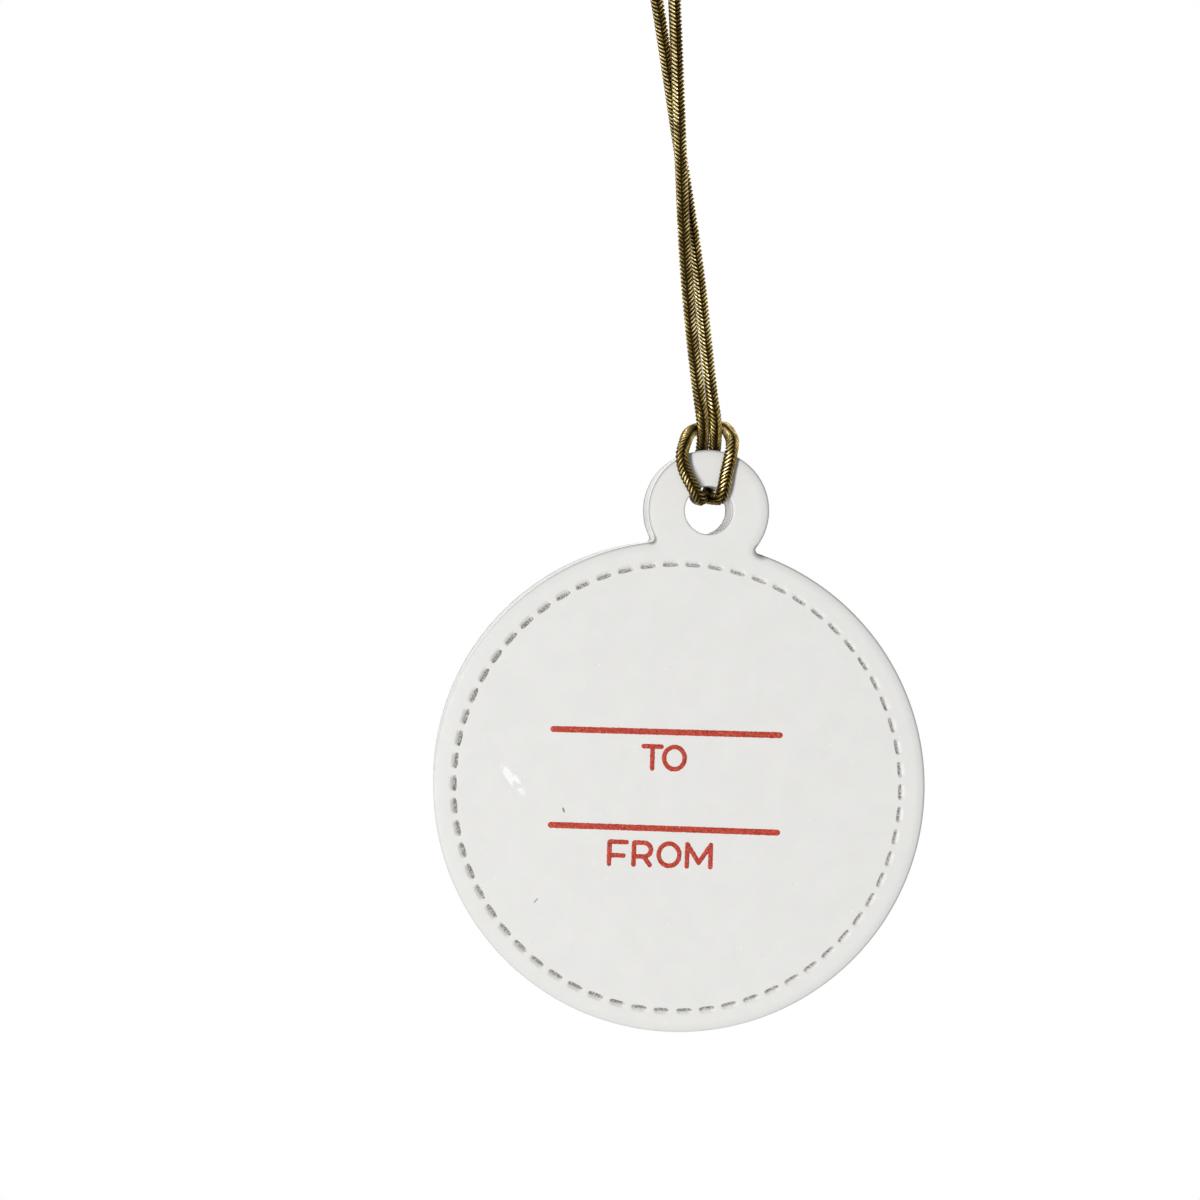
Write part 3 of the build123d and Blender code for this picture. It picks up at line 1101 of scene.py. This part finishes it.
def roll_turns(carried, rolls):
    """Turns about the line that face the braid to the front with its roll, each with its point's number.

    Control points where the line runs to the front have none. The braid looks the same after half a turn, so
    each turn is the nearest one to the turn before it.
    """
    turns = []
    last = len(carried) - 1
    for number, roll in enumerate(rolls):
        index = min(max(round((number - 0.5) * last / (len(rolls) - 2)), 0), last)
        along, across = carried[index][2:]
        towards = FRONT - along * FRONT.dot(along)
        if towards.length > SIDE_SHOWN:
            turn = math.atan2(along.dot(across.cross(towards)), across.dot(towards)) + math.radians(roll)
            before = turns[-1][1] if turns else turn
            turns.append((index, turn - HALF_TURN * round((turn - before) / HALF_TURN)))
    return turns


def line_frames(points, rolls):
    """Distance along the line, and its point and the braid's two directions across it, for each point."""
    carried = carry_across(points)
    turns = roll_turns(carried, rolls)
    places = [index for index, _ in turns]
    frames = []
    for index, (travelled, point, along, across) in enumerate(carried):
        after = min(max(bisect(places, index), 1), len(turns) - 1)
        (low, low_turn), (high, high_turn) = turns[after - 1], turns[after]
        share = held((index - low) / max(1, high - low))
        turned = Matrix.Rotation(low_turn + (high_turn - low_turn) * share, 3, along) @ across
        frames.append((travelled, point, turned, along.cross(turned)))
    return frames


def model_pick(cord, column):
    """One slanted yarn pick of a column, blunt at its ends and bent round the cord's axis, which is X."""
    middle = cord.diameter / 2 + cord.crown - PICK_HEIGHT / 2
    sign = 1 if column % 2 else -1
    length = FULL_TURN * middle / cord.columns * PICK_REACH / math.cos(cord.slant)
    width = cord.row_pitch * math.cos(cord.slant) * PICK_WIDTH
    deselect_all()
    bpy.ops.mesh.primitive_uv_sphere_add(segments=6, ring_count=7, radius=1)
    pick = bpy.context.object
    # Painted light: bright on the pick's outer middle, falling to dark at its ends where it dives under
    pick_light = pick.data.attributes.new("pick_light", "FLOAT", "POINT")
    for vertex in pick.data.vertices:
        share = vertex.co.z
        pick_light.data[vertex.index].value = max(0.0, vertex.co.y) * (1 - share**2)
        plump = (1 - abs(share) ** 3) ** (1 / 3) / max(1e-6, math.hypot(vertex.co.x, vertex.co.y))
        along = share * length / 2
        across = vertex.co.x * plump * width / 2
        out = vertex.co.y * plump * PICK_HEIGHT / 2
        round_cord = along * math.cos(cord.slant) - sign * across * math.sin(cord.slant)
        down_cord = sign * along * math.sin(cord.slant) + across * math.cos(cord.slant)
        turn = FULL_TURN * (column + 0.5) / cord.columns + round_cord / middle
        vertex.co = (down_cord, (middle + out) * math.cos(turn), (middle + out) * math.sin(turn))
    return pick


def model_row(cord):
    """One row of the braid: a pick in each column, faces outwards, over a short length of core."""
    row = join_pieces([model_pick(cord, column) for column in range(cord.columns)], "cord_row")
    enter_edit()
    leave_edit()
    row.data.materials.append(yarn_material(tuple(cord.yarn_colour)))
    deselect_all()
    bpy.ops.mesh.primitive_cylinder_add(
        vertices=10, radius=CORE_SHARE * cord.diameter, depth=cord.row_pitch, end_fill_type="NOTHING",
        rotation=(0, QUARTER_TURN, 0)
    )
    core = bpy.context.object
    apply_place()
    core.data.materials.append(core_shade_material(tuple(cord.core_shade_colour)))
    return join_pieces([row, core], "gold_cord")


def repeat_rows(braid, length, pitch):
    """Repeat the braid's row along X for that length and close the core's ends."""
    array = braid.modifiers.new("rows", "ARRAY")
    array.count = int(length / pitch)
    array.use_relative_offset = False
    array.use_constant_offset = True
    array.constant_offset_displace = (pitch, 0, 0)
    array.use_merge_vertices = True
    array.merge_threshold = ROW_WELD
    apply_modifiers(braid)
    bpy.ops.object.mode_set(mode="EDIT")
    bpy.ops.mesh.select_all(action="DESELECT")
    bpy.ops.mesh.select_mode(type="EDGE")
    bpy.ops.mesh.select_non_manifold(extend=False)
    bpy.ops.mesh.fill_holes(sides=0)
    bpy.ops.object.mode_set(mode="OBJECT")


def bend_along(braid, frames):
    """Carry a braid that runs along X onto the line."""
    distances = [travelled for travelled, *_ in frames]
    for vertex in braid.data.vertices:
        place = min(max(vertex.co.x, 0.0), distances[-1])
        after = min(max(bisect(distances, place), 1), len(frames) - 1)
        share = (place - distances[after - 1]) / max(1e-9, distances[after] - distances[after - 1])
        stretch = zip(frames[after - 1][1:], frames[after][1:])
        centre, first, second = (start.lerp(end, share) for start, end in stretch)
        vertex.co = centre + first.normalized() * vertex.co.y + second.normalized() * vertex.co.z


def paint_pick_light(braid):
    """Paint shade on the picks of the tight hitch, and paint those along the gleams lighter or darker."""
    pick_light = braid.data.attributes["pick_light"]
    for vertex in braid.data.vertices:
        place = (vertex.co - hole_centre) / MM
        # Painted shade on the hitch, and painted highlights or shade along the gleams
        light = HITCH_LIGHT + (1 - HITCH_LIGHT) * smooth_step((place.z - HITCH_TOP) / HITCH_FADE)
        for start, end, strength in GLEAMS:
            run = Vector(end) - Vector(start)
            share = held((place - Vector(start)).dot(run) / run.length_squared)
            gap = (place - Vector(start) - run * share).length
            light += strength * (1 - smooth_step((gap - GLEAM_HALF_WIDTH) / GLEAM_FADE))
        pick_light.data[vertex.index].value *= light


def model_cord(cord):
    """The braided cord along its line, closed at its cut ends, with its line's points and its length."""
    control_points, rolls = cord_points(cord)
    points = line_points(draw_cord_line(control_points))
    frames = line_frames(points, rolls)
    length = frames[-1][0]
    braid = model_row(cord)
    repeat_rows(braid, length, cord.row_pitch)
    bend_along(braid, frames)
    paint_pick_light(braid)
    bpy.ops.object.shade_smooth()
    return braid, points, length


# Stage

FLOOR_RADIUS = 0.25
FLOOR_DROP = 0.2
FLOOR_COLOUR = (0.86, 0.86, 0.86, 1.0)
# The floor's glow under the tag and far from it, and the distances between which it grows
FLOOR_GLOW = (0.4, 1.0)
FLOOR_GLOW_REACH = (0.04, 0.2)
# Direction from the tag, distance and size of each lamp
KEY_LIGHT = ((-0.5, -0.86, -0.1), 3.2, (0.38, 1.8))
EDGE_LIGHT = ((-0.3, 0.25, 0.92), 1.0, (0.4, 0.4))
BACK_LIGHT = ((0.35, 0.9, 0.25), 3.2, (1.2, 1.2))
# The width of the camera's sensor in millimetres, and the nearest distance that it shows
SENSOR_WIDTH = 36
NEAREST = 0.01


def build_floor():
    """A pale round floor below the hanging tag, white where it is seen far from the tag's shadow."""
    deselect_all()
    place = (face_centre.x, 0, cad_low.z - FLOOR_DROP)
    bpy.ops.mesh.primitive_circle_add(vertices=96, radius=FLOOR_RADIUS, fill_type="NGON", location=place)
    floor = bpy.context.object
    floor.name = "floor"
    floor.data.name = "floor"
    apply_place()
    finish = Finish("pale_floor")
    offset = finish.measure("DISTANCE", finish.place(), place)
    glow = finish.span(offset, *FLOOR_GLOW_REACH, *FLOOR_GLOW)
    finish.set(Base_Color=FLOOR_COLOUR, Roughness=0.9, Emission_Color=WHITE)
    finish.set(Emission_Strength=finish.math("MULTIPLY", glow, finish.seen_directly()))
    floor.data.materials.append(finish.material)


def add_lamp(name, towards, distance, size, power):
    """An area lamp that shines on the tag from that side."""
    towards = Vector(towards).normalized()
    deselect_all()
    bpy.ops.object.light_add(type="AREA", location=face_centre + towards * distance)
    lamp = bpy.context.object
    lamp.name = name
    lamp.data.name = name
    lamp.rotation_euler = towards.to_track_quat("Z", "Y").to_euler()
    lamp.data.shape = "RECTANGLE"
    lamp.data.size, lamp.data.size_y = size
    lamp.data.energy = power


def build_lights(stage):
    """A soft key light from the left and lights from above and behind."""
    add_lamp("key_light", *KEY_LIGHT, stage.key_power)
    add_lamp("edge_light", *EDGE_LIGHT, stage.edge_power)
    add_lamp("back_light", *BACK_LIGHT, stage.back_power)


def build_surround(stage):
    """An even white surround: a weak light on the tag, and white where it is seen."""
    world = bpy.data.worlds.new("surround")
    bpy.context.scene.world = world
    world.use_nodes = True
    nodes = Nodes(world.node_tree)
    even = world.node_tree.nodes["Background"]
    nodes.put(even.inputs["Color"], WHITE)
    nodes.put(even.inputs["Strength"], stage.fill)
    white = nodes.add("Background", {"Color": WHITE})
    mix = nodes.add("MixShader", {0: nodes.seen_directly(), 1: even.outputs[0], 2: white.outputs[0]})
    nodes.put(world.node_tree.nodes["World Output"].inputs["Surface"], mix.outputs[0])


def build_camera(stage):
    """The camera square to the tag's face, with the tag off the middle of its frame."""
    deselect_all()
    place = face_centre + Vector((stage.across, -stage.distance, stage.above))
    bpy.ops.object.camera_add(location=place)
    camera = bpy.context.object
    turned = Matrix.Rotation(QUARTER_TURN, 4, "X") @ Matrix.Rotation(stage.roll, 4, "Z")
    camera.rotation_euler = turned.to_euler()
    camera.data.lens = stage.lens
    camera.data.sensor_width = SENSOR_WIDTH
    camera.data.shift_x, camera.data.shift_y = stage.shift
    camera.data.clip_start = NEAREST
    bpy.context.scene.camera = camera


# Operators


class GIFTTAG_OT_facings(Operator):
    """Model the white facings: the front one with its ring of pressed stitches, the back one plain"""

    bl_idname = "gift_tag.facings"
    bl_label = "Facings"

    def execute(self, context):
        facing = context.scene.gift_tag_facing
        material = facing_material(facing)
        back_centre = Vector((face_centre.x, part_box("back_facing")[1].y, face_centre.z))
        front = model_facing(facing, stitch_ring(facing), "pressed_front_facing", face_centre, 0)
        back = model_facing(facing, bare_plate(), "plain_back_facing", back_centre, HALF_TURN)
        for plate, node in ((front, "front_facing"), (back, "back_facing")):
            plate.data.materials.append(material)
            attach(plate, "tag")
            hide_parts(node)
        return {"FINISHED"}


class GIFTTAG_OT_board(Operator):
    """Finish the board between the facings"""

    bl_idname = "gift_tag.board"
    bl_label = "Board"

    def execute(self, context):
        mesh = frame["nodes"]["core_board"].data
        mesh.materials.clear()
        mesh.materials.append(board_material(context.scene.gift_tag_facing))
        return {"FINISHED"}


class GIFTTAG_OT_print(Operator):
    """Print the two writing lines and their field labels in raised red ink"""

    bl_idname = "gift_tag.print"
    bl_label = "Writing lines and labels"

    def execute(self, context):
        ink = context.scene.gift_tag_print
        material = ink_material(tuple(ink.colour))
        half_line = (ink.line_length - ink.line_width) / 2 / MM
        half_spacing = ink.line_spacing / 2
        rule = [[(-half_line, 0), (half_line, 0)]]
        to_label = label_strokes(TO_LETTERS)
        from_label = label_strokes(FROM_LETTERS)
        for name, strokes, width, across, up, node in (
            ("upper_ink_line", rule, ink.line_width, 0, half_spacing, "upper_writing_line"),
            ("lower_ink_line", rule, ink.line_width, 0, -half_spacing, "lower_writing_line"),
            ("to_label", to_label, ink.letter_stroke, TO_SHIFT, half_spacing - ink.label_drop, None),
            ("from_label", from_label, ink.letter_stroke, FROM_SHIFT, -half_spacing - ink.label_drop, None),
        ):
            place = print_place(ink, across, up)
            turn = ink.skew if up > 0 else ink.skew - ink.lower_turn
            piece = print_ink(name, strokes, width / MM, ink.relief, place, turn)
            piece.data.materials.append(material)
            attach(piece, "tag")
            if node:
                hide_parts(node)
        return {"FINISHED"}


class GIFTTAG_OT_cord(Operator):
    """Braid the gold cord along its hitch, loop, knot and cut ends"""

    bl_idname = "gift_tag.cord"
    bl_label = "Gold cord"

    def execute(self, context):
        cord = context.scene.gift_tag_cord
        braid, points, length = model_cord(cord)
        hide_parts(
            "cord_hitch", "cord_rear_strand", "cord_front_strand", "cord_knot", "cord_left_tail",
            "cord_right_tail"
        )
        above = flex_centre + Vector((0, 0, BEND_ABOVE))
        below = flex_centre - Vector((0, 0, BEND_BELOW))
        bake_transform(braid, "cord", "hitch", start=above, end=below)
        return {"FINISHED"}


class GIFTTAG_OT_stage(Operator):
    """Set the floor, the lights and the camera"""

    bl_idname = "gift_tag.stage"
    bl_label = "Stage"

    def execute(self, context):
        stage = context.scene.gift_tag_stage
        build_floor()
        build_lights(stage)
        build_surround(stage)
        build_camera(stage)
        context.scene.view_settings.view_transform = "Standard"
        return {"FINISHED"}


SETTINGS = {
    "gift_tag_facing": GIFTTAG_PG_facing,
    "gift_tag_print": GIFTTAG_PG_print,
    "gift_tag_cord": GIFTTAG_PG_cord,
    "gift_tag_stage": GIFTTAG_PG_stage,
}
OPERATORS = (
    GIFTTAG_OT_facings,
    GIFTTAG_OT_board,
    GIFTTAG_OT_print,
    GIFTTAG_OT_cord,
    GIFTTAG_OT_stage,
)


class GIFTTAG_PT_sidebar(Panel):
    """The tag's pieces in the order they are made, and their settings"""

    bl_idname = "GIFTTAG_PT_sidebar"
    bl_label = "Gift tag"
    bl_space_type = "VIEW_3D"
    bl_region_type = "UI"
    bl_category = "Gift tag"

    def draw(self, context):
        for operator in OPERATORS:
            self.layout.operator(operator.bl_idname)
        for name in SETTINGS:
            group = getattr(context.scene, name)
            box = self.layout.box()
            for key in group.__annotations__:
                box.prop(group, key)


def register():
    """Register the classes and hang the settings on the scene."""
    for item in (*SETTINGS.values(), *OPERATORS, GIFTTAG_PT_sidebar):
        bpy.utils.register_class(item)
    for name, group in SETTINGS.items():
        setattr(bpy.types.Scene, name, PointerProperty(type=group))


def unregister():
    """Take the settings and the classes away again."""
    for name in SETTINGS:
        delattr(bpy.types.Scene, name)
    for item in reversed((*SETTINGS.values(), *OPERATORS, GIFTTAG_PT_sidebar)):
        bpy.utils.unregister_class(item)


def main():
    """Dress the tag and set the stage."""
    register()
    bpy.ops.gift_tag.facings()
    bpy.ops.gift_tag.board()
    bpy.ops.gift_tag.print()
    bpy.ops.gift_tag.cord()
    bpy.ops.gift_tag.stage()


if __name__ == "__main__":
    main()
